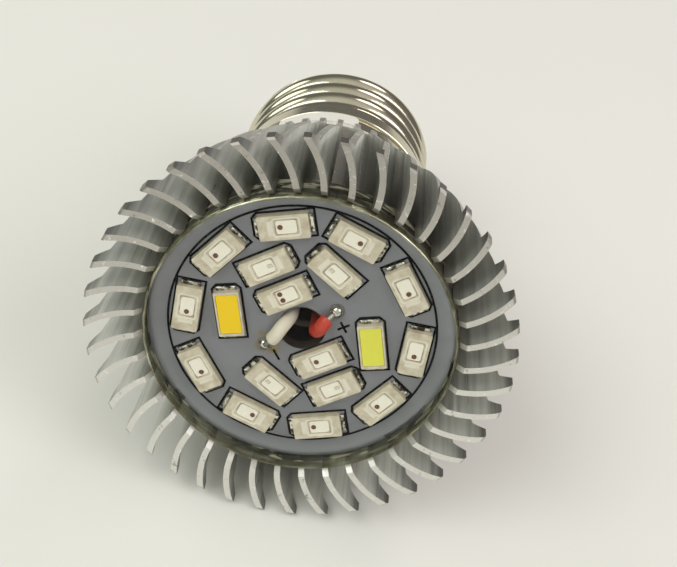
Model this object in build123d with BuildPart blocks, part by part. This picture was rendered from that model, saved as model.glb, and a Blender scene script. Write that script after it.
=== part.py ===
from build123d import *
import math
import os

os.makedirs("parts", exist_ok=True)

# Frame: Z is the bulb axis, the light face is down on Z = 0, the screw cap is up.

# Axial stations
cover_front_z = 0.15
cover_inner_z = 1.15
board_front_z = 3.0
board_thickness = 1.5
board_rear_z = board_front_z + board_thickness
web_thickness = 3.5
sink_rear_z = 32.0
shell_edge_z = 32.6
band_step_z = 35.5
spigot_end_z = 47.0
shell_end_z = 54.4
insulator_end_z = 58.6
contact_end_z = 61.4

# Fits
slide_gap = 0.1
window_gap = 0.04
pin_gap = 0.06

# Heat sink
fin_count = 40
fin_phase = 7.8
fin_thickness = 0.7
fin_straight_r = 16.8
fin_bend_r = 10.5
fin_bend_angle = 46.0
tip_r = 24.0
tip_length = 1.6
body_front_r = 22.75
core_r = 12.6
core_bore_r = 11.2
face_bore_r = 17.55
face_chamfer = 0.8
wire_hole_r = 2.8

# Board and lamps
board_r = face_bore_r - slide_gap
board_hole_r = 2.65
lamp_length = 5.55
lamp_width = 2.9
lamp_height = 0.85
lamp_top_z = board_front_z - lamp_height
cup_length = 2.95
cup_width = 2.1
cup_depth = 0.1
window_length = 2.35
window_width = 1.65
window_depth = 0.35
window_shift = 0.28
bar_offset = 1.55
bar_length = 0.5
bar_width = 1.75
bar_depth = 0.06
phosphor_length = 4.9
phosphor_width = 2.5
ring_r = 12.9
die_r = 0.26
die_offset = 0.4
chip_length = 0.5
chip_width = 0.36
terminal_length = 0.5
terminal_width = 2.2
terminal_height = 0.3

# Wires
insulation_r = 0.8
strand_r = 0.34

# Driver housing
sleeve_r = core_bore_r - slide_gap
sleeve_bore_r = 9.9
flange_r = 12.9
spigot_r = 11.8

# Screw cap, E27
crest_r = 13.15
root_r = 12.3
shell_bore_r = spigot_r + slide_gap
thread_pitch = 3.63
band_r = 12.9
band_end_z = 38.9
thread_phase = 102.6
ridge_half = 1.65
label_thickness = 0.25
label_span = 47.0
label_angle = -68.5
shell_lip_r = 10.4

# Driver
driver_half_width = 10.35
driver_thickness = 1.2
driver_front_z = 12.0
driver_end_z = 46.0


def on_bend(radius, angle):
    a = math.radians(angle)
    x = fin_straight_r + radius * math.sin(a)
    y = -fin_bend_r + radius * math.cos(a)
    return (x, y)


def cap_arc(radius, base_z, top_z):
    # middle and top points of a spherical cap of this base radius
    height = abs(top_z - base_z)
    sphere_r = (radius**2 + height**2) / (2 * height)
    a = math.asin(min(1.0, radius / sphere_r)) / 2
    sign = 1 if top_z > base_z else -1
    return (sphere_r * math.sin(a), top_z - sign * sphere_r * (1 - math.cos(a))), (0, top_z)


def along(lamp, offset, across=0.0):
    a = math.radians(lamp[2])
    x = lamp[0] + offset * math.cos(a) - across * math.sin(a)
    y = lamp[1] + offset * math.sin(a) + across * math.cos(a)
    return (x, y)


# Lamp list: x, y, angle of the long axis, marked end, where the dark dies sit across it
lamps = []
for k in range(10):
    turn = -108 + 36 * k
    marked = 1 if 2 <= k <= 6 else -1
    x = ring_r * math.cos(math.radians(turn))
    y = ring_r * math.sin(math.radians(turn))
    lamps.append((x, y, turn + 90, marked, [0]))
lamps.append((0.1, -8.7, 0, 1, []))
lamps.append((0.3, -4.7, 0, -1, [-0.4, 0.4]))
lamps.append((0.2, 4.3, 0, -1, [0]))
lamps.append((0.1, 8.3, 0, 1, []))
lamps.append((6.6, -5.15, 69, -1, []))
lamps.append((-6.3, 4.9, 69, -1, []))
amber_lamp = (-6.45, -5.1, 110, -1, [])
lemon_lamp = (6.4, 4.95, 110, -1, [])

# Finned heat sink: curved fins on a core, turned to a bowl outline
half = fin_thickness / 2
with BuildSketch() as fin_section:
    with BuildLine():
        p1 = (core_r - 0.6, half)
        p2 = (fin_straight_r, half)
        p3 = on_bend(fin_bend_r + half, fin_bend_angle)
        p4 = on_bend(fin_bend_r - half, fin_bend_angle)
        p5 = (fin_straight_r, -half)
        p6 = (core_r - 0.6, -half)
        Line(p1, p2)
        ThreePointArc(p2, on_bend(fin_bend_r + half, fin_bend_angle / 2), p3)
        Line(p3, p4)
        ThreePointArc(p4, on_bend(fin_bend_r - half, fin_bend_angle / 2), p5)
        Line(p5, p6)
        Line(p6, p1)
    make_face()

with BuildPart() as heat_sink:
    with BuildSketch():
        with PolarLocations(0, fin_count, start_angle=fin_phase):
            add(fin_section.sketch)
        Circle(core_r)
    extrude(amount=sink_rear_z)
    with BuildSketch(Plane.XZ):
        with BuildLine():
            Polyline(
                (0, board_rear_z),
                (face_bore_r, board_rear_z),
                (face_bore_r, face_chamfer),
                (face_bore_r + face_chamfer, 0),
                (tip_r - 0.25, 0),
                (tip_r, 0.25),
                (tip_r, tip_length),
                (body_front_r, 2.8),
            )
            ThreePointArc((body_front_r, 2.8), (21.3, 10), (18.4, 18))
            Line((18.4, 18), (14.3, 29.4))
            ThreePointArc((14.3, 29.4), (14.0, 31.2), (13.2, sink_rear_z))
            Polyline((13.2, sink_rear_z), (0, sink_rear_z), (0, board_rear_z))
        make_face()
    revolve(axis=Axis.Z, mode=Mode.INTERSECT)
    with BuildSketch(Plane.XY.offset(board_rear_z + web_thickness)):
        Circle(core_bore_r)
    extrude(amount=sink_rear_z, mode=Mode.SUBTRACT)
    with BuildSketch(Plane.XY.offset(board_rear_z)):
        Circle(wire_hole_r)
    extrude(amount=web_thickness, mode=Mode.SUBTRACT)
heat_sink.part.label = "heat_sink"
export_step(heat_sink.part, "parts/heat_sink.step")

# Clear cover: thin disc with a skirt standing on the rim of the board
with BuildPart() as clear_cover:
    with BuildSketch(Plane.XZ):
        with BuildLine():
            Polyline(
                (0, cover_inner_z),
                (0, 0.55),
                (16.1, 0.55),
                (16.5, cover_front_z),
                (board_r - 0.4, cover_front_z),
            )
            RadiusArc((board_r - 0.4, cover_front_z), (board_r, cover_front_z + 0.4), -0.4)
            Polyline(
                (board_r, cover_front_z + 0.4),
                (board_r, board_front_z),
                (board_r - 0.55, board_front_z),
                (board_r - 0.55, cover_inner_z),
                (0, cover_inner_z),
            )
        make_face()
    revolve(axis=Axis.Z)
clear_cover.part.label = "clear_cover"
export_step(clear_cover.part, "parts/clear_cover.step")

# Lamp board
with BuildPart() as led_board:
    with BuildSketch(Plane.XY.offset(board_front_z)):
        Circle(board_r)
        Circle(board_hole_r, mode=Mode.SUBTRACT)
    extrude(amount=board_thickness)
led_board.part.label = "led_board"
export_step(led_board.part, "parts/led_board.step")

# Lamp housings: a stepped cup for the window and a shallow bar at the marked end
all_lamps = lamps + [amber_lamp, lemon_lamp]
for index, lamp in enumerate(all_lamps):
    turned = (0, 0, lamp[2])
    cup_centre = along(lamp, -lamp[3] * window_shift)
    name = f"led_{index + 1:02d}"
    with BuildPart() as housing:
        with BuildSketch(Plane.XY.offset(lamp_top_z)):
            with Locations(Location((lamp[0], lamp[1], 0), turned)):
                Rectangle(lamp_length, lamp_width)
        extrude(amount=lamp_height)
        fillet(housing.edges().filter_by(Axis.Z), 0.18)
        if index >= len(lamps):
            with BuildSketch(Plane.XY.offset(lamp_top_z)):
                with Locations(Location((lamp[0], lamp[1], 0), turned)):
                    RectangleRounded(phosphor_length, phosphor_width, 0.2)
            extrude(amount=window_depth, mode=Mode.SUBTRACT)
        else:
            with BuildSketch(Plane.XY.offset(lamp_top_z)):
                with Locations(Location((*cup_centre, 0), turned)):
                    RectangleRounded(cup_length, cup_width, 0.5)
            extrude(amount=cup_depth, mode=Mode.SUBTRACT)
            with BuildSketch(Plane.XY.offset(lamp_top_z)):
                with Locations(Location((*cup_centre, 0), turned)):
                    RectangleRounded(window_length, window_width, 0.35)
            extrude(amount=window_depth, mode=Mode.SUBTRACT)
            with BuildSketch(Plane.XY.offset(lamp_top_z)):
                with Locations(Location((*along(lamp, lamp[3] * bar_offset), 0), turned)):
                    RectangleRounded(bar_length, bar_width, 0.15)
            extrude(amount=bar_depth, mode=Mode.SUBTRACT)
    housing.part.label = name
    export_step(housing.part, f"parts/{name}.step")

# Clear lamp windows, each with a seat for its dies
with BuildPart() as led_windows:
    for lamp in lamps:
        with BuildSketch(Plane.XY.offset(lamp_top_z + cup_depth + 0.02)):
            with Locations(Location((*along(lamp, -lamp[3] * window_shift), 0), (0, 0, lamp[2]))):
                RectangleRounded(window_length - 2 * window_gap, window_width - 2 * window_gap, 0.31)
        extrude(amount=window_depth - cup_depth - 0.02)
    for lamp in lamps:
        if lamp[4]:
            with BuildSketch(Plane.XY.offset(lamp_top_z)):
                for across in lamp[4]:
                    with Locations(along(lamp, lamp[3] * die_offset, across)):
                        Circle(die_r + window_gap)
            extrude(amount=window_depth, mode=Mode.SUBTRACT)
        else:
            with BuildSketch(Plane.XY.offset(lamp_top_z)):
                with Locations(Location((*along(lamp, lamp[3] * die_offset), 0), (0, 0, lamp[2]))):
                    Rectangle(chip_length + 2 * window_gap, chip_width + 2 * window_gap)
            extrude(amount=window_depth, mode=Mode.SUBTRACT)
led_windows.part.label = "led_windows"
export_step(led_windows.part, "parts/led_windows.step")

# Dark dies and pale chips standing on the recess floors
with BuildPart() as led_dies:
    for lamp in lamps:
        for across in lamp[4]:
            with BuildSketch(Plane.XY.offset(lamp_top_z + 0.06)):
                with Locations(along(lamp, lamp[3] * die_offset, across)):
                    Circle(die_r)
            extrude(amount=window_depth - 0.06)
led_dies.part.label = "led_dies"
export_step(led_dies.part, "parts/led_dies.step")

with BuildPart() as led_chips:
    for lamp in lamps:
        if not lamp[4]:
            with BuildSketch(Plane.XY.offset(lamp_top_z + 0.08)):
                with Locations(Location((*along(lamp, lamp[3] * die_offset), 0), (0, 0, lamp[2]))):
                    Rectangle(chip_length, chip_width)
            extrude(amount=window_depth - 0.08)
led_chips.part.label = "led_chips"
export_step(led_chips.part, "parts/led_chips.step")

# Phosphor fills of the two coloured lamps
with BuildPart() as phosphor_amber:
    with BuildSketch(Plane.XY.offset(lamp_top_z + 0.05)):
        with Locations(Location((amber_lamp[0], amber_lamp[1], 0), (0, 0, amber_lamp[2]))):
            RectangleRounded(phosphor_length - 2 * window_gap, phosphor_width - 2 * window_gap, 0.16)
    extrude(amount=window_depth - 0.05)
phosphor_amber.part.label = "phosphor_amber"
export_step(phosphor_amber.part, "parts/phosphor_amber.step")

with BuildPart() as phosphor_lemon:
    with BuildSketch(Plane.XY.offset(lamp_top_z + 0.05)):
        with Locations(Location((lemon_lamp[0], lemon_lamp[1], 0), (0, 0, lemon_lamp[2]))):
            RectangleRounded(phosphor_length - 2 * window_gap, phosphor_width - 2 * window_gap, 0.16)
    extrude(amount=window_depth - 0.05)
phosphor_lemon.part.label = "phosphor_lemon"
export_step(phosphor_lemon.part, "parts/phosphor_lemon.step")

# Soldered lamp terminals, one at each end of every lamp
terminal_offset = (lamp_length + terminal_length) / 2
with BuildPart() as led_terminals:
    for lamp in all_lamps:
        for end in (-1, 1):
            x, y = along(lamp, end * terminal_offset)
            with BuildSketch(Plane.XY.offset(board_front_z)):
                with Locations(Location((x, y, 0), (0, 0, lamp[2]))):
                    Rectangle(terminal_length, terminal_width)
            extrude(amount=-terminal_height)
    front_faces = led_terminals.faces().filter_by(Axis.Z).sort_by(Axis.Z)[: 2 * len(all_lamps)]
    fillet(front_faces.edges(), 0.12)
led_terminals.part.label = "led_terminals"
export_step(led_terminals.part, "parts/led_terminals.step")

# Direct current wires from the driver to the lamp board
white_end = (-3.4, -0.45, 2.15)
red_end = (3.45, -0.25, 2.15)
white_path = [(-0.75, -1.42, 4.8), (-1.05, -1.42, 3.3), (-1.95, -1.2, 2.25), white_end]
red_path = [(0.95, 1.42, 4.8), (1.2, 1.15, 3.4), (2.1, 0.5, 2.25), red_end]
wire_top_z = 15.0


def wire(path, tip, label):
    with BuildPart() as cable:
        with BuildLine() as route:
            leg = Line((path[0][0], path[0][1], wire_top_z), path[0])
            Spline(*path, tangents=[(0, 0, -1), Vector(*tip) - Vector(*path[-1])])
        with BuildSketch(Plane(origin=leg @ 0, z_dir=leg % 0)):
            Circle(insulation_r)
        sweep(path=route.wires()[0])
    cable.part.label = label
    export_step(cable.part, f"parts/{label}.step")


white_tip = (-4.6, 0.1, 2.55)
red_tip = (4.3, -0.42, 2.55)
wire(white_path, white_tip, "wire_white")
wire(red_path, red_tip, "wire_red")

with BuildPart() as wire_ends:
    for end, tip in ((white_end, white_tip), (red_end, red_tip)):
        direction = Vector(*tip) - Vector(*end)
        with BuildSketch(Plane(origin=end, z_dir=direction)):
            Circle(strand_r)
        extrude(amount=direction.length)
    with Locations((-0.75, -0.6 - strand_r, wire_top_z + 0.75), (0.95, 0.6 + strand_r, wire_top_z + 0.75)):
        Cylinder(strand_r, 1.5)
wire_ends.part.label = "wire_ends"
export_step(wire_ends.part, "parts/wire_ends.step")

# Solder joints on the two pads
with BuildPart() as solder_joints:
    for x, y, radius, height in ((-4.75, 0.2, 0.85, 0.7), (4.6, -0.45, 0.9, 0.85)):
        with BuildSketch(Plane.XZ.offset(-y)):
            with BuildLine():
                Line((x, board_front_z), (x + radius, board_front_z))
                arc = cap_arc(radius, board_front_z, board_front_z - height)
                ThreePointArc((x + radius, board_front_z), (x + arc[0][0], arc[0][1]), (x, arc[1][1]))
                Line((x, arc[1][1]), (x, board_front_z))
            make_face()
        revolve(axis=Axis((x, y, 0), (0, 0, 1)))
    add(wire_ends.part, mode=Mode.SUBTRACT)
solder_joints.part.label = "solder_joints"
export_step(solder_joints.part, "parts/solder_joints.step")

# Driver housing: sleeve in the core, thin collar behind the fins, spigot for the screw shell
floor_z = board_rear_z + web_thickness
with BuildPart() as driver_housing:
    with BuildSketch(Plane.XZ):
        with BuildLine():
            Polyline(
                (wire_hole_r, floor_z),
                (sleeve_r, floor_z),
                (sleeve_r, sink_rear_z),
                (flange_r, sink_rear_z),
                (flange_r, shell_edge_z),
                (spigot_r, shell_edge_z),
                (spigot_r, spigot_end_z),
                (sleeve_bore_r, spigot_end_z),
                (sleeve_bore_r, floor_z + 1.2),
                (wire_hole_r, floor_z + 1.2),
                (wire_hole_r, floor_z),
            )
        make_face()
    revolve(axis=Axis.Z)
    with BuildSketch(Plane.XY.offset(driver_front_z)):
        Rectangle(2 * (driver_half_width + slide_gap), driver_thickness + slide_gap)
    extrude(amount=spigot_end_z, mode=Mode.SUBTRACT)
driver_housing.part.label = "driver_housing"
export_step(driver_housing.part, "parts/driver_housing.step")

# Ridge of the rolled round thread
ridge_r = root_r - 0.25
with BuildPart() as thread_ridge:
    with BuildLine(Plane.XY.offset(band_end_z - 1.7)):
        ridge_path = Helix(pitch=thread_pitch, height=16.2, radius=ridge_r)
    with BuildSketch(Plane(origin=ridge_path @ 0, x_dir=(1, 0, 0), z_dir=ridge_path % 0)):
        with BuildLine():
            ThreePointArc((0, -ridge_half), (crest_r - 0.03 - ridge_r, 0), (0, ridge_half))
            Line((0, ridge_half), (0, -ridge_half))
        make_face()
    sweep(path=ridge_path, is_frenet=True)

# Screw shell with the rolled thread
with BuildPart() as screw_shell:
    with BuildSketch(Plane.XZ):
        with BuildLine():
            Polyline(
                (shell_bore_r, shell_edge_z),
                (band_r, shell_edge_z),
                (band_r, band_step_z),
                (crest_r - 0.1, band_step_z),
                (crest_r, band_step_z + 0.1),
                (crest_r, band_end_z - 0.6),
                (root_r, band_end_z + 0.3),
                (root_r, 52.4),
                (shell_lip_r, shell_end_z),
                (shell_lip_r - 0.35, shell_end_z),
                (shell_lip_r - 0.35, shell_end_z - 0.4),
                (shell_bore_r, 52.2),
                (shell_bore_r, shell_edge_z),
            )
        make_face()
    revolve(axis=Axis.Z)
    add(thread_ridge.part)
    with BuildSketch(Plane.XZ):
        with BuildLine():
            Polyline((0, shell_edge_z), (crest_r, shell_edge_z), (crest_r, 51.0))
            ThreePointArc((crest_r, 51.0), (12.95, 51.8), (root_r, 52.4))
            Polyline((root_r, 52.4), (shell_lip_r, shell_end_z), (0, shell_end_z), (0, shell_edge_z))
        make_face()
    revolve(axis=Axis.Z, mode=Mode.INTERSECT)
turned_shell = screw_shell.part.rotate(Axis.Z, thread_phase)
turned_shell.label = "screw_shell"
export_step(turned_shell, "parts/screw_shell.step")

# Plain white label wrapped on the lower band of the shell
label_height = band_step_z - shell_edge_z - 0.1
label_a = math.radians(label_angle)
label_plane = Plane(
    origin=(0, 0, shell_edge_z + label_height / 2),
    x_dir=(-math.sin(label_a), math.cos(label_a), 0),
    z_dir=(math.cos(label_a), math.sin(label_a), 0),
)
with BuildPart() as neck_label:
    with BuildSketch(label_plane):
        RectangleRounded(2 * band_r * math.sin(math.radians(label_span / 2)), label_height, 0.7)
    extrude(amount=crest_r)
    with BuildSketch(Plane.XY.offset(shell_edge_z)):
        Circle(band_r + label_thickness)
        Circle(band_r, mode=Mode.SUBTRACT)
    extrude(amount=label_height, mode=Mode.INTERSECT)
neck_label.part.label = "neck_label"
export_step(neck_label.part, "parts/neck_label.step")

# Insulator cone seated in the lip of the shell
with BuildPart() as base_insulator:
    with BuildSketch(Plane.XZ):
        with BuildLine():
            Polyline(
                (1.1 + pin_gap, 51.6),
                (shell_lip_r - 0.45, 51.6),
                (shell_lip_r - 0.45, shell_end_z),
                (shell_lip_r + 0.15, shell_end_z),
                (shell_lip_r - 0.1, shell_end_z + 0.8),
                (5.5, insulator_end_z),
                (1.1 + pin_gap, insulator_end_z),
                (1.1 + pin_gap, 51.6),
            )
        make_face()
    revolve(axis=Axis.Z)
base_insulator.part.label = "base_insulator"
export_step(base_insulator.part, "parts/base_insulator.step")

# Centre contact: domed button with a rivet stem
with BuildPart() as centre_contact:
    with BuildSketch(Plane.XZ):
        with BuildLine():
            Polyline((0, 51.6), (1.1, 51.6), (1.1, insulator_end_z), (4.9, insulator_end_z), (4.9, 60.0))
            ThreePointArc((4.9, 60.0), *cap_arc(4.9, 60.0, contact_end_z))
            Line((0, contact_end_z), (0, 51.6))
        make_face()
    revolve(axis=Axis.Z)
centre_contact.part.label = "centre_contact"
export_step(centre_contact.part, "parts/centre_contact.step")

# Driver board standing in the grooves of the housing
with BuildPart() as driver_board:
    with BuildSketch(Plane.XY.offset(driver_front_z)):
        Rectangle(2 * driver_half_width, driver_thickness)
    extrude(amount=driver_end_z - driver_front_z)
driver_board.part.label = "driver_board"
export_step(driver_board.part, "parts/driver_board.step")

face_y = driver_thickness / 2

# Transformer: ferrite frame around a taped winding
with BuildPart() as transformer_core:
    with Locations((0, face_y, 29.0)):
        Box(10.4, 7.4, 9.6, align=(Align.CENTER, Align.MIN, Align.CENTER))
        Box(7.6, 7.4, 6.8, align=(Align.CENTER, Align.MIN, Align.CENTER), mode=Mode.SUBTRACT)
transformer_core.part.label = "transformer_core"
export_step(transformer_core.part, "parts/transformer_core.step")

with BuildPart() as transformer_winding:
    with Locations((0, face_y, 29.0)):
        Box(7.5, 7.9, 6.8, align=(Align.CENTER, Align.MIN, Align.CENTER))
transformer_winding.part.label = "transformer_winding"
export_step(transformer_winding.part, "parts/transformer_winding.step")

# Electrolytic capacitors lying on the board
with BuildPart() as input_capacitor:
    with Locations(Location((-1.2, -face_y - 3.6, 33.0))):
        Cylinder(3.6, 12.0)
    fillet(input_capacitor.edges().filter_by(GeomType.CIRCLE), 0.5)
input_capacitor.part.label = "input_capacitor"
export_step(input_capacitor.part, "parts/input_capacitor.step")

with BuildPart() as output_capacitor:
    with Locations(Location((4.6, face_y + 2.5, 18.5))):
        Cylinder(2.5, 9.0)
    fillet(output_capacitor.edges().filter_by(GeomType.CIRCLE), 0.4)
output_capacitor.part.label = "output_capacitor"
export_step(output_capacitor.part, "parts/output_capacitor.step")

# Bridge rectifier, driver chip and fusible resistor
with BuildPart() as bridge_rectifier:
    with Locations((3.5, -face_y, 42.5)):
        Box(4.8, 2.4, 4.0, align=(Align.CENTER, Align.MAX, Align.CENTER))
bridge_rectifier.part.label = "bridge_rectifier"
export_step(bridge_rectifier.part, "parts/bridge_rectifier.step")

with BuildPart() as driver_chip:
    with Locations((3.2, -face_y, 21.5)):
        Box(3.9, 1.5, 4.9, align=(Align.CENTER, Align.MAX, Align.CENTER))
driver_chip.part.label = "driver_chip"
export_step(driver_chip.part, "parts/driver_chip.step")

with BuildPart() as fusible_resistor:
    with Locations((0, 0, 48.8)):
        Cylinder(1.3, 3.0)
    fillet(fusible_resistor.edges().filter_by(GeomType.CIRCLE), 0.3)
fusible_resistor.part.label = "fusible_resistor"
export_step(fusible_resistor.part, "parts/fusible_resistor.step")

with BuildPart() as live_lead:
    with Locations((0, 0, (driver_end_z + 47.3) / 2)):
        Cylinder(strand_r, 47.3 - driver_end_z)
    with Locations((0, 0, (50.3 + 51.6) / 2)):
        Cylinder(strand_r, 51.6 - 50.3)
live_lead.part.label = "live_lead"
export_step(live_lead.part, "parts/live_lead.step")

# Neutral lead bent over the spigot on to the inner wall of the shell
with BuildPart() as neutral_lead:
    with BuildLine() as neutral_route:
        Spline(
            (8.0, face_y + strand_r, 40.0),
            (8.0, face_y + strand_r, 44.0),
            (9.3, face_y + strand_r, 47.9),
            (math.sqrt(shell_bore_r**2 - (face_y + 2 * strand_r) ** 2), face_y + strand_r, 48.6),
            tangents=[(0, 0, 1), (1, 0, 0)],
        )
    with BuildSketch(Plane(origin=(8.0, face_y + strand_r, 40.0), z_dir=(0, 0, 1))):
        Circle(strand_r)
    sweep()
    with BuildSketch(Plane.XY.offset(38.0)):
        Circle(shell_bore_r)
    extrude(amount=14.0, mode=Mode.INTERSECT)
neutral_lead.part.label = "neutral_lead"
export_step(neutral_lead.part, "parts/neutral_lead.step")
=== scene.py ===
"""Looks of the LED grow bulb: materials, board print, table, lights and camera around the CAD frame."""

import math

import bmesh
import bpy
from mathutils import Matrix, Vector


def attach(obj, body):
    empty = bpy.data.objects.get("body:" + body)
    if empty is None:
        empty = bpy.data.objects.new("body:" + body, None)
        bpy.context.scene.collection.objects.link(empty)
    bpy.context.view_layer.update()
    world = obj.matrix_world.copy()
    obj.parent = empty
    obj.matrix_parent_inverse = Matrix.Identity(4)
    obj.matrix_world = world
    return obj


MM = 0.001

# Measures of the part, in mm
BOARD_Z = 3.0
BOARD_EDGE_R = 17.4
BOARD_HOLE_R = 2.7
SINK_HOLE_R = 2.9
LAMP_RING_R = 12.9
COVER_RIM_R = 17.05
COVER_WALL = 0.7  # thickness of the raised rim, seen from inside it
RIM_BACK_Z = (0.9, 1.3)  # where the rim's painted olive reflection in front turns into its painted shade at the back

# Lamps: centre x and y in mm, turn in degrees, and the end that is marked
LAMPS = []
for step in range(10):
    turn = math.radians(-108 + 36 * step)
    marked = 1 if 2 <= step <= 6 else -1
    LAMPS.append((LAMP_RING_R * math.cos(turn), LAMP_RING_R * math.sin(turn), -18 + 36 * step, marked))
LAMPS += [
    (0.1, -8.7, 0, 1),
    (0.3, -4.7, 0, -1),
    (0.2, 4.3, 0, -1),
    (0.1, 8.3, 0, 1),
    (6.6, -5.15, 69, -1),
    (-6.3, 4.9, 69, -1),
    (-6.45, -5.1, 110, -1),
    (6.4, 4.95, 110, -1),
]
WHITE_LAMPS = 16  # the two after these hold amber and lemon phosphor

# Flux stains on the board: centre x and y in mm, reach in mm, strength
STAINS = ((-5.2, 0.2, 1.0, 0.95), (-4.1, 1.1, 1.0, 0.95), (-4.4, -1.0, 0.9, 0.6))

# Board print, in mm
PRINT_LIFT = 0.02
OUTLINE_HALF = (3.42, 1.62)
OUTLINE_CUT = 0.55
OUTLINE_WIDTH = 0.26
RING_R = 15.05
RING_WIDTH = 0.27
RING_POINTS = 160
SIGN_ARM = 0.75
SIGN_WIDTH = 0.28
SIGNS = ((4.35, 1.75, (0, 90)), (-4.2, 2.0, (90,)))  # centre x and y, angles of the strokes

# Directions of the photograph: to its right, up, and back to the camera
VIEW_RIGHT = Vector((0.9003, 0.4286, 0.0765)).normalized()
VIEW_BACK = VIEW_RIGHT.cross(Vector((0.3442, -0.8083, 0.4776))).normalized()
VIEW_UP = VIEW_BACK.cross(VIEW_RIGHT).normalized()
CAMERA_AT = (43.4, -59.8, -119.1)
CAMERA_LENS = 68.0
SENSOR_WIDTH = 36
CLIP_START = 0.01

# Table: the direction from the axis to it, the radius and z of the rim and cap points on it in mm, half its side in m
TABLE_SIDE = Vector((-0.588, 0.809, 0))
RIM_TOUCH = (24.1, 0.8)
CAP_TOUCH = (13.2, 50)
TABLE_HALF = 1.5

# Area lights: direction along VIEW_RIGHT, VIEW_UP and VIEW_BACK, disc size in m, power in W, colour
BULB_CENTRE = Vector((0, 0, 22 * MM))
LIGHT_DISTANCE = 0.8
LIGHTS = (
    ("window_light", (-0.45, 0.42, 0.8), 0.6, 2.5, (0.985, 1.0, 0.975)),
    ("fill_light", (0.9, 0.2, 0.8), 0.6, 2.05, (1.0, 0.975, 1.0)),
    ("left_panel", (-0.6, 0.8, 0.01), 0.44, 0.98, (0.98, 1.0, 0.93)),
    ("corner_light", (-0.7, -0.45, 0.5), 0.5, 0.6, (0.98, 1.0, 0.97)),
    ("right_panel", (0.5, 0.84, 0.02), 0.32, 0.8, (1.0, 0.93, 0.93)),
)

# World: strength rises smoothly towards ROOM_BRIGHT, colour turns towards VIEW_RIGHT
ROOM_BRIGHT = Vector((0.42, -0.56, -0.71)).normalized()
ROOM_STRENGTH = {"From Min": 0.2, "From Max": 0.9, "To Min": 0.22, "To Max": 0.8}
ROOM_SIDE_RANGE = {"From Min": -0.5, "From Max": 0.6}
ROOM_LEFT = (234, 242, 232)
ROOM_RIGHT = (242, 234, 232)

# Plain finishes: two sRGB colours, roughness range, metallic, pattern scale, bump in mm, nodes
FINISHES = {
    "lamp_window": ((240, 234, 217), (250, 245, 232), (0.16, 0.28), 0, 900, 0.02, ["led_windows"]),
    "lamp_die": ((84, 46, 34), (134, 82, 64), (0.25, 0.4), 0, 4000, 0.02, ["led_dies"]),
    "lamp_chip": ((212, 207, 184), (221, 216, 195), (0.3, 0.45), 0, 4000, 0.02, ["led_chips"]),
    "amber_phosphor": ((246, 202, 2), (252, 214, 10), (0.5, 0.6), 0, 1500, 0.02, ["phosphor_amber"]),
    "lemon_phosphor": ((224, 221, 72), (234, 231, 92), (0.5, 0.6), 0, 1500, 0.02, ["phosphor_lemon"]),
    "solder": ((176, 175, 168), (226, 225, 218), (0.08, 0.2), 1, 900, 0.04, ["solder_joints"]),
    "tinned_metal": (
        (150, 147, 138), (212, 208, 198), (0.22, 0.45), 1, 1800, 0.05, ["wire_ends", "live_lead", "neutral_lead"]
    ),
    "white_insulation": ((214, 205, 186), (234, 227, 211), (0.35, 0.5), 0, 900, 0.02, ["wire_white"]),
    "red_insulation": ((180, 50, 36), (214, 74, 54), (0.25, 0.4), 0, 900, 0.02, ["wire_red"]),
    "white_plastic": ((224, 222, 212), (232, 230, 221), (0.3, 0.42), 0, 300, 0.02, ["driver_housing"]),
    "white_label": ((226, 224, 214), (236, 234, 225), (0.4, 0.5), 0, 500, 0.02, ["neck_label"]),
    "dark_insulator": ((24, 24, 27), (38, 38, 42), (0.12, 0.25), 0, 300, 0.02, ["base_insulator"]),
    "contact_metal": ((176, 172, 160), (208, 204, 192), (0.2, 0.4), 1, 700, 0.02, ["centre_contact"]),
    "driver_laminate": ((176, 146, 92), (190, 160, 106), (0.45, 0.6), 0, 900, 0.02, ["driver_board"]),
    "ferrite": ((48, 48, 50), (66, 66, 68), (0.5, 0.7), 0, 2500, 0.02, ["transformer_core"]),
    "winding_tape": ((222, 190, 60), (234, 204, 82), (0.2, 0.35), 0, 900, 0.02, ["transformer_winding"]),
    "capacitor_sleeve": (
        (30, 38, 58), (40, 50, 74), (0.2, 0.3), 0, 900, 0.02, ["input_capacitor", "output_capacitor"]
    ),
    "black_resin": ((34, 34, 34), (48, 48, 48), (0.45, 0.6), 0, 2500, 0.02, ["bridge_rectifier", "driver_chip"]),
    "resistor_body": ((108, 150, 132), (124, 166, 148), (0.5, 0.65), 0, 1800, 0.02, ["fusible_resistor"]),
    "black_ink": ((3, 3, 4), (9, 9, 10), (0.7, 0.8), 0, 3000, 0.02, []),
}


def srgb(r, g, b):
    """The linear colour of 8-bit sRGB values."""

    def linear(v):
        v /= 255
        return v / 12.92 if v <= 0.04045 else ((v + 0.055) / 1.055) ** 2.4

    return (linear(r), linear(g), linear(b))


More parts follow.
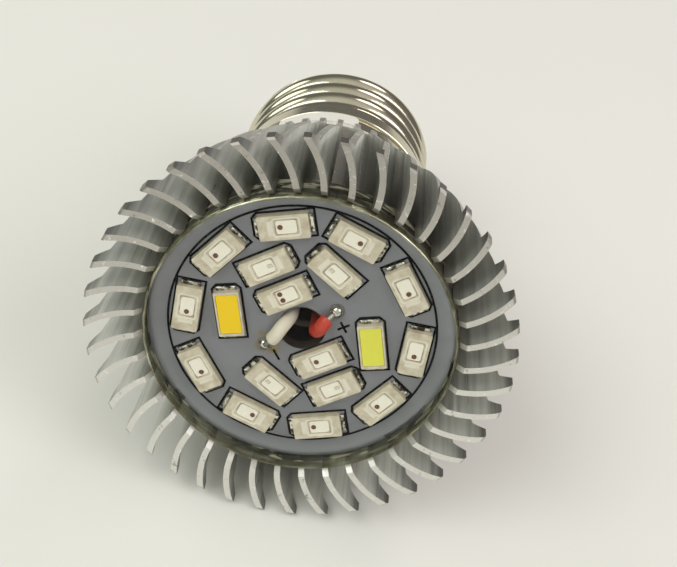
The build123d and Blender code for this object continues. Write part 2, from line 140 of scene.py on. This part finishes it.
class Tree:
    """A shader node tree. Values handed to its methods are numbers, colours or sockets."""

    def __init__(self, tree):
        self.tree = tree

    def fill(self, socket, value):
        if isinstance(value, bpy.types.NodeSocket):
            self.tree.links.new(value, socket)
        elif socket.type == "RGBA":
            socket.default_value = (*value, 1)
        else:
            socket.default_value = value

    def node(self, kind, inputs=None, **settings):
        made = self.tree.nodes.new(kind)
        for key, value in settings.items():
            setattr(made, key, value)
        for key, value in (inputs or {}).items():
            self.fill(made.inputs[key], value)
        return made

    def math(self, operation, a, b=0.0):
        return self.node("ShaderNodeMath", {0: a, 1: b}, operation=operation).outputs[0]

    def times(self, a, b):
        return self.math("MULTIPLY", a, b)

    def vector(self, operation, a, b=(0, 0, 0)):
        made = self.node("ShaderNodeVectorMath", {0: a, 1: b}, operation=operation)
        return made.outputs["Value" if operation in ("LENGTH", "DISTANCE", "DOT_PRODUCT") else "Vector"]

    def split(self, vector):
        return self.node("ShaderNodeSeparateXYZ", {0: vector}).outputs

    def ramp(self, value, low, high, to_low=0.0, to_high=1.0):
        ends = {"From Min": low, "From Max": high, "To Min": to_low, "To Max": to_high}
        return self.node("ShaderNodeMapRange", {"Value": value, **ends}).outputs[0]

    def ramp_mm(self, value, low, high, to_low=0.0, to_high=1.0):
        return self.ramp(value, low * MM, high * MM, to_low, to_high)

    def mix(self, factor, a, b):
        return self.node("ShaderNodeMix", {0: factor, 6: a, 7: b}, data_type="RGBA").outputs[2]

    def blend(self, factor, a, b):
        """Mix two shaders."""
        return self.node("ShaderNodeMixShader", {0: factor, 1: a, 2: b}).outputs[0]


class Shader(Tree):
    """One material, built around its Principled shader and the object's own coordinates."""

    def __init__(self, name, **values):
        self.mat = bpy.data.materials.new(name)
        self.mat.use_nodes = True
        super().__init__(self.mat.node_tree)
        self.bsdf = self.tree.nodes["Principled BSDF"]
        self.where = self.node("ShaderNodeTexCoord").outputs["Object"]
        self.finish(**values)

    def finish(self, **values):
        """Set or link inputs of the Principled shader, named with _ for each space."""
        for key, value in values.items():
            self.fill(self.bsdf.inputs[key.replace("_", " ")], value)

    def surface(self, shader):
        self.fill(self.tree.nodes["Material Output"].inputs["Surface"], shader)

    def radius(self):
        """Distance from the bulb's axis."""
        return self.vector("LENGTH", self.vector("MULTIPLY", self.where, (1, 1, 0)))

    def noise(self, scale, detail=4.0, stretch=(1, 1, 1), rough=0.5):
        at = self.node("ShaderNodeMapping", {"Vector": self.where, "Scale": stretch}).outputs[0]
        values = {"Vector": at, "Scale": scale, "Detail": detail, "Roughness": rough}
        return self.node("ShaderNodeTexNoise", values).outputs[0]

    def bump(self, height, strength, distance_mm):
        values = {"Height": height, "Strength": strength, "Distance": distance_mm * MM}
        self.finish(Normal=self.node("ShaderNodeBump", values).outputs[0])

    def dress(self, *names):
        for name in names:
            nodes[name].data.materials.clear()
            nodes[name].data.materials.append(self.mat)


def plain(name):
    """One of FINISHES: colour and gloss both vary softly, with a fine grain."""
    low, high, rough, metal, scale, bump, names = FINISHES[name]
    made = Shader(name, Metallic=metal)
    patches = made.noise(scale)
    made.finish(
        Base_Color=made.mix(patches, srgb(*low), srgb(*high)),
        Roughness=made.ramp(patches, 0.3, 0.7, *rough),
    )
    made.bump(made.noise(scale * 6), 0.3, bump)
    made.dress(*names)
    return made


def dress_heat_sink():
    """Aluminium: drawn lines along the flanks, turned rings on the cut edges."""
    fins = Shader("turned_aluminium")
    x, y, z = fins.split(fins.where)
    radius = fins.radius()
    normal = fins.node("ShaderNodeNewGeometry").outputs["Normal"]
    outward = fins.vector("NORMALIZE", fins.node("ShaderNodeCombineXYZ", {0: x, 1: y}).outputs[0])
    outward = fins.vector("DOT_PRODUCT", outward, normal)

    # Cut faces: the front edges, and behind the rim the outer edges too
    front = fins.ramp(fins.times(fins.split(normal)["Z"], -1.0), 0.55, 0.9)
    turned_out = fins.ramp(outward, 0.6, 0.85)
    turned_side = fins.times(turned_out, fins.ramp_mm(z, 2.7, 3.3))
    cut = fins.math("MAXIMUM", front, turned_side)

    # Flanks: streaks along the bulb, with painted shade at foot and tip near the front and painted light in the
    # middle
    streak = fins.noise(1500, 3.0, (1, 1, 0.03))
    near = fins.ramp_mm(z, 7, 13, 1.0, 0.0)
    foot_shade = fins.times(fins.ramp_mm(radius, 19.2, 17.8), near)
    middle_light = fins.times(fins.ramp_mm(radius, 18.8, 20.8), fins.ramp_mm(radius, 23.4, 21.4))
    tip_shade = fins.times(fins.ramp_mm(radius, 22.6, 23.8), near)
    # outward faces near the front, which get painted shade
    rim = fins.math("SUBTRACT", turned_out, turned_side)
    flank = fins.mix(fins.ramp(streak, 0.35, 0.65), srgb(146, 147, 141), srgb(216, 217, 211))
    for share, colour in (
        (fins.ramp(fins.noise(160, 3.0), 0.35, 0.7, 0.0, 0.4), (188, 190, 180)),
        (foot_shade, (136, 134, 126)),
        (fins.times(middle_light, 0.55), (222, 224, 217)),
        (fins.times(tip_shade, 0.8), (96, 94, 88)),
        # painted shade inside the bore
        (fins.ramp_mm(radius, SINK_HOLE_R + 0.1, SINK_HOLE_R), (34, 30, 27)),
        (fins.times(rim, 0.85), (112, 106, 98)),
    ):
        flank = fins.mix(share, flank, srgb(*colour))

    # Edges: turned rings, with painted shade making them browner on the side away from the table, with bright nicks
    # and dark wear
    ring_at = fins.node("ShaderNodeCombineXYZ", {0: radius, 1: z}).outputs[0]
    rings = fins.node("ShaderNodeTexNoise", {"Vector": ring_at, "Scale": 9000, "Detail": 3.0}).outputs[0]
    off_table = fins.vector("DOT_PRODUCT", fins.where, (0.39, -0.92, 0))
    wear = fins.noise(900, 5.0, rough=0.7)
    edge = fins.mix(rings, srgb(198, 196, 188), srgb(240, 239, 232))
    for share, colour in (
        (fins.ramp_mm(off_table, -6, 18, 0.0, 0.55), (128, 118, 106)),
        (fins.times(fins.ramp(wear, 0.6, 0.66), 0.85), (246, 245, 240)),
        (fins.times(fins.ramp(wear, 0.4, 0.34), 0.6), (92, 86, 76)),
    ):
        edge = fins.mix(share, edge, srgb(*colour))

    gloss = fins.math("ADD", streak, fins.times(cut, 0.3))
    fins.finish(
        Base_Color=fins.mix(cut, flank, edge),
        Roughness=fins.ramp(gloss, 0.3, 0.9, 0.27, 0.46),
        Metallic=fins.ramp(cut, 0.0, 1.0, 0.66, 0.75),
    )
    drawn = fins.noise(2600, 3.0, (1, 1, 0.02))
    grain = fins.node("ShaderNodeMix", {0: cut, 2: drawn, 3: rings}, data_type="FLOAT").outputs[0]
    fins.bump(grain, 0.35, 0.03)
    fins.dress("heat_sink")


def dress_board():
    """Grey solder mask, paler outside the printed ring, with flux stains, painted shade in the hole, and a bare metal
    edge with painted glints.
    """
    mask = Shader("grey_solder_mask")
    radius = mask.radius()
    grime = mask.times(mask.noise(1500, 4.0), 0.9 * MM)
    stain = 0.0
    for x, y, reach, share in STAINS:
        away = mask.vector("DISTANCE", mask.where, (x * MM, y * MM, BOARD_Z * MM))
        away = mask.math("ADD", away, grime)
        patch = mask.ramp_mm(away, 0.25 + reach * 0.5, 0.25 + reach * 1.2, share, 0.0)
        stain = mask.math("MAXIMUM", stain, patch)
    tone = mask.mix(mask.noise(300), srgb(121, 122, 128), srgb(133, 134, 140))
    tone = mask.mix(mask.ramp_mm(radius, 15.0, 16.5, 0.0, 0.8), tone, srgb(148, 150, 156))
    flux = mask.mix(mask.noise(1800), srgb(88, 72, 42), srgb(164, 146, 100))
    # painted shade on the hole's wall
    hole_shade = mask.ramp_mm(radius, BOARD_HOLE_R + 0.05, BOARD_HOLE_R)
    face = mask.mix(hole_shade, mask.mix(stain, tone, flux), srgb(58, 54, 50))
    # painted glints on the bare metal edge
    painted_glints = mask.ramp(mask.noise(420, 2.0, (1, 1, 3)), 0.48, 0.56)
    metal = mask.mix(painted_glints, srgb(108, 103, 88), srgb(244, 239, 214))
    bare = mask.ramp_mm(radius, BOARD_EDGE_R - 0.04, BOARD_EDGE_R)
    mask.finish(
        Base_Color=mask.mix(bare, face, metal),
        Metallic=bare,
        Roughness=mask.ramp(mask.noise(500), 0.3, 0.7, 0.4, 0.52),
    )
    mask.bump(mask.noise(5000), 0.15, 0.02)
    mask.dress("led_board")


def dress_lamp(number, x, y, angle, marked):
    """One lamp's moulding, with its pattern laid along and across the lamp in mm."""
    body = Shader(f"lamp_body_{number:02d}")
    centred = body.vector("ADD", body.where, (-x * MM, -y * MM, 0))
    turned = body.node(
        "ShaderNodeVectorRotate",
        {"Vector": centred, "Axis": (0, 0, 1), "Angle": -math.radians(angle)},
        rotation_type="AXIS_ANGLE",
    )
    local = body.split(turned.outputs[0])
    along = body.times(local["X"], marked / MM)
    across = body.math("ABSOLUTE", body.times(local["Y"], 1 / MM))
    mottle = body.ramp(body.noise(900), 0.3, 0.7)
    tone = body.mix(mottle, srgb(188, 175, 151), srgb(222, 214, 195))
    if number <= WHITE_LAMPS:
        # A pale bar at the marked end
        off_bar = body.math("ABSOLUTE", body.math("SUBTRACT", along, 1.55))
        bar = body.times(body.ramp(off_bar, 0.2, 0.32, 1.0, 0.0), body.ramp(across, 0.78, 0.92, 1.0, 0.0))
        tone = body.mix(body.times(bar, 0.8), tone, srgb(236, 230, 216))

        # A painted highlight with round corners along the lip at the top of the recess
        corner = 0.35
        off_middle = body.math("ABSOLUTE", body.math("ADD", along, 0.28))
        past_x = body.math("MAXIMUM", body.math("SUBTRACT", off_middle, 1.47 - corner), 0.0)
        past_y = body.math("MAXIMUM", body.math("SUBTRACT", across, 1.05 - corner), 0.0)
        off_lip = body.vector("LENGTH", body.node("ShaderNodeCombineXYZ", {0: past_x, 1: past_y}).outputs[0])
        off_lip = body.math("ABSOLUTE", body.math("SUBTRACT", off_lip, corner))
        lip_highlight = body.ramp(off_lip, 0.04, 0.16, 1.0, 0.0)
        tone = body.mix(body.times(lip_highlight, 0.75), tone, srgb(244, 238, 225))

        # Brown, patchy painted shade round the window, where the recess wall meets it
        past_end = body.math("SUBTRACT", off_middle, 1.2)
        past_side = body.math("SUBTRACT", across, 0.85)
        off_wall_shade = body.math("ABSOLUTE", body.math("MAXIMUM", past_end, past_side))
        patchy = body.ramp(body.noise(800), 0.45, 0.6, 0.0, 0.7)
        wall_shade = body.times(body.ramp(off_wall_shade, 0.03, 0.1, 1.0, 0.0), patchy)
        tone = body.mix(wall_shade, tone, srgb(140, 118, 92))
    # Darker towards the long sides
    long_sides = body.ramp(across, 1.3, 1.45)
    body.finish(
        Base_Color=body.mix(body.times(long_sides, 0.35), tone, srgb(186, 176, 150)),
        Roughness=body.ramp(body.noise(900), 0.3, 0.7, 0.34, 0.5),
    )
    body.bump(body.noise(5200), 0.2, 0.02)
    body.dress(f"led_{number:02d}")


def dress_terminals():
    """Soldered ends: bright lumps on dark metal."""
    ends = Shader("soldered_ends", Metallic=1.0)
    height = ends.noise(1500, 3.0)
    lumps = ends.ramp(height, 0.42, 0.62)
    ends.finish(
        Base_Color=ends.mix(lumps, srgb(74, 68, 58), srgb(236, 233, 222)),
        Roughness=ends.ramp(lumps, 0.0, 1.0, 0.4, 0.12),
    )
    ends.bump(height, 0.9, 0.12)
    ends.dress("led_terminals")


def dress_screw_shell():
    """Nickel plate with faint rolling marks round it."""
    shell = Shader("nickel_plate", Metallic=1.0)
    shell.finish(
        Base_Color=shell.mix(shell.noise(220), srgb(194, 188, 164), srgb(220, 214, 192)),
        Roughness=shell.ramp(shell.noise(600), 0.3, 0.75, 0.08, 0.19),
    )
    shell.bump(shell.noise(1200, 3.0, (0.05, 0.05, 1)), 0.12, 0.04)
    shell.dress("screw_shell")


def dress_cover():
    """Clear plastic: a thin flat window, and a partly see-through rim whose wall carries painted reflection, shade
    and glints.
    """
    cover = Shader("clear_plastic", Roughness=0.1, Metallic=0.85)
    z = cover.split(cover.where)["Z"]
    through = cover.node("ShaderNodeBsdfTransparent", {"Color": (0.985, 0.99, 0.98)}).outputs[0]
    sheen = cover.node("ShaderNodeBsdfAnisotropic", {"Color": (1, 1, 1), "Roughness": 0.03}).outputs[0]
    mirrored = cover.node("ShaderNodeFresnel", {"IOR": 1.14}).outputs[0]
    window = cover.blend(mirrored, through, sheen)

    # The rim's wall: in front a painted olive reflection with brighter bands, behind it painted shade, greyer where
    # seen from inside, with painted glints
    inside = cover.node("ShaderNodeNewGeometry").outputs["Backfacing"]
    level = cover.math("SUBTRACT", z, cover.times(inside, COVER_WALL * MM))
    behind = cover.ramp_mm(level, *RIM_BACK_Z)
    painted_glint = cover.ramp(cover.noise(420, 2.0, (1, 1, 3)), 0.56, 0.62)
    back_wall_shade_glints = cover.mix(painted_glint, cover.mix(inside, srgb(66, 62, 52), srgb(96, 94, 86)), srgb(252, 246, 214))
    reflection_bands = cover.ramp(cover.noise(240, 2.0, (1, 1, 4)), 0.45, 0.65)
    front_wall_reflection = cover.mix(reflection_bands, srgb(134, 131, 106), srgb(220, 218, 190))
    cover.finish(Base_Color=cover.mix(behind, front_wall_reflection, back_wall_shade_glints))
    tint = cover.mix(cover.noise(500), srgb(196, 192, 160), srgb(232, 228, 204))
    edge_on = cover.node("ShaderNodeBsdfTransparent", {"Color": tint}).outputs[0]
    depth = cover.ramp(cover.noise(300), 0.35, 0.65, 0.55, 0.85)
    rim = cover.blend(depth, edge_on, cover.bsdf.outputs[0])

    seen = cover.blend(cover.ramp_mm(cover.radius(), COVER_RIM_R, COVER_RIM_R + 0.2), window, rim)
    shadow = cover.node("ShaderNodeLightPath").outputs["Is Shadow Ray"]
    cover.surface(cover.blend(shadow, seen, through))
    cover.dress("clear_cover")


def strip(bm, points, width, closed):
    """A flat line of this width through the points, in mm, with mitred corners."""
    count = len(points)
    rows = []
    for i, point in enumerate(points):
        before = points[i - 1] if i or closed else None
        after = points[(i + 1) % count] if i + 1 < count or closed else None
        sides = []
        for a, b in ((before, point), (point, after)):
            if a is not None and b is not None:
                step = (b - a).normalized()
                sides.append(Vector((-step.y, step.x)))
        across = sum(sides, Vector((0, 0))).normalized()
        across *= width / 2 / max(0.4, across.dot(sides[0]))
        z = BOARD_Z - PRINT_LIFT
        rows.append([bm.verts.new(Vector((*(point + s * across), z)) * MM) for s in (-1, 1)])
    for i in range(count if closed else count - 1):
        a, b = rows[i], rows[(i + 1) % count]
        bm.faces.new((a[0], a[1], b[1], b[0]))


def turned_point(x, y, degrees):
    a = math.radians(degrees)
    return Vector((x * math.cos(a) - y * math.sin(a), x * math.sin(a) + y * math.cos(a)))


def add_object(name, bm, shader):
    mesh = bpy.data.meshes.new(name)
    bm.to_mesh(mesh)
    bm.free()
    mesh.materials.append(shader.mat)
    made = bpy.data.objects.new(name, mesh)
    bpy.context.collection.objects.link(made)
    return made


def make_board_print():
    """Lamp outlines with two cut corners, the printed ring, and the plus and minus signs."""
    bm = bmesh.new()
    a, b = OUTLINE_HALF
    cut = OUTLINE_CUT
    for x, y, angle, marked in LAMPS:
        centre = Vector((x, y))
        outline = [(a, b), (a, -b), (cut - a, -b), (-a, cut - b), (-a, b - cut), (cut - a, b)]
        outline = [(u * -marked, v) for u, v in outline]
        strip(bm, [centre + turned_point(*corner, angle) for corner in outline], OUTLINE_WIDTH, True)
    ring = [turned_point(RING_R, 0, 360 * i / RING_POINTS) for i in range(RING_POINTS)]
    strip(bm, ring, RING_WIDTH, True)
    for x, y, strokes in SIGNS:
        centre = Vector((x, y))
        for angle in strokes:
            arm = turned_point(SIGN_ARM, 0, angle)
            strip(bm, [centre - arm, centre + arm], SIGN_WIDTH, False)
    bmesh.ops.recalc_face_normals(bm, faces=bm.faces)
    ink = plain("black_ink")
    ink.finish(Specular_IOR_Level=0.15)
    return add_object("board_print", bm, ink)


def make_table():
    """A pale plane that the fins' rim and the screw cap lie on, seen from above only."""
    touch_rim, touch_cap = (
        TABLE_SIDE * radius * MM + Vector((0, 0, z * MM)) for radius, z in (RIM_TOUCH, CAP_TOUCH)
    )
    slope = (touch_cap - touch_rim).normalized()
    side = slope.cross(TABLE_SIDE).normalized()
    up = slope.cross(side).normalized()
    if up.dot(BULB_CENTRE - touch_rim) < 0:
        up = -up
    bm = bmesh.new()
    corners = []
    for u, v in ((-1, -1), (1, -1), (1, 1), (-1, 1)):
        corners.append(bm.verts.new(touch_rim + (slope * u + side * v) * TABLE_HALF))
    face = bm.faces.new(corners)
    face.normal_update()
    if face.normal.dot(up) < 0:
        face.normal_flip()
    top = Shader("pale_table", Roughness=0.55)
    top.finish(Base_Color=top.mix(top.noise(9), srgb(226, 225, 218), srgb(231, 230, 223)))
    top.bump(top.noise(400), 0.1, 0.1)
    below = top.node("ShaderNodeNewGeometry").outputs["Backfacing"]
    gone = top.node("ShaderNodeBsdfTransparent").outputs[0]
    top.surface(top.blend(below, top.bsdf.outputs[0], gone))
    return add_object("table", bm, top)


def light_room():
    """A soft bright side in front of the bulb, a dimmer one behind it, and the area lights."""
    world = bpy.data.worlds.new("room")
    bpy.context.scene.world = world
    world.use_nodes = True
    room = Tree(world.node_tree)
    toward = room.node("ShaderNodeTexCoord").outputs["Generated"]
    bright = room.vector("DOT_PRODUCT", toward, ROOM_BRIGHT)
    strength = room.node(
        "ShaderNodeMapRange", {"Value": bright, **ROOM_STRENGTH}, interpolation_type="SMOOTHSTEP"
    )
    sideways = room.vector("DOT_PRODUCT", toward, VIEW_RIGHT)
    share = room.node("ShaderNodeMapRange", {"Value": sideways, **ROOM_SIDE_RANGE})
    sky = room.tree.nodes["Background"]
    room.fill(sky.inputs["Strength"], strength.outputs[0])
    room.fill(sky.inputs["Color"], room.mix(share.outputs[0], srgb(*ROOM_LEFT), srgb(*ROOM_RIGHT)))
    for name, (right, up, back), size, power, colour in LIGHTS:
        direction = VIEW_RIGHT * right + VIEW_UP * up + VIEW_BACK * back
        light = bpy.data.lights.new(name, "AREA")
        light.shape = "DISK"
        light.size = size
        light.energy = power
        light.color = colour
        made = bpy.data.objects.new(name, light)
        bpy.context.collection.objects.link(made)
        made.location = BULB_CENTRE + direction.normalized() * LIGHT_DISTANCE
        made.rotation_euler = (-direction).to_track_quat("-Z", "Y").to_euler()


def place_camera():
    """The camera at the photograph's viewing angle."""
    camera = bpy.data.objects.new("camera", bpy.data.cameras.new("camera"))
    bpy.context.collection.objects.link(camera)
    camera.data.sensor_width = SENSOR_WIDTH
    camera.data.lens = CAMERA_LENS
    camera.data.clip_start = CLIP_START
    axes = Matrix((VIEW_RIGHT, VIEW_UP, VIEW_BACK)).transposed().to_4x4()
    camera.matrix_world = Matrix.Translation(Vector(CAMERA_AT) * MM) @ axes
    bpy.context.scene.camera = camera


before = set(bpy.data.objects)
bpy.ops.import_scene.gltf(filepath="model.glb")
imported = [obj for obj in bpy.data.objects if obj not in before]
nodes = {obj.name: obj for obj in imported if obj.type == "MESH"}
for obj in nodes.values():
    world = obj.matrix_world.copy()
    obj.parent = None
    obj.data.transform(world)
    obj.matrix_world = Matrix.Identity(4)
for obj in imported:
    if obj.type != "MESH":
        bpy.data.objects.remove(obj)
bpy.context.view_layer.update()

dress_heat_sink()
dress_board()
for number, lamp in enumerate(LAMPS, 1):
    dress_lamp(number, *lamp)
for name, finish in FINISHES.items():
    if finish[-1]:
        made = plain(name)
        if name == "white_plastic":
            made.finish(Subsurface_Weight=0.12, Subsurface_Radius=(0.0012, 0.001, 0.0008))
dress_terminals()
dress_screw_shell()
dress_cover()

board_print = make_board_print()
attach(board_print, "root")
table = make_table()
light_room()
place_camera()
bpy.context.scene.view_settings.view_transform = "Standard"
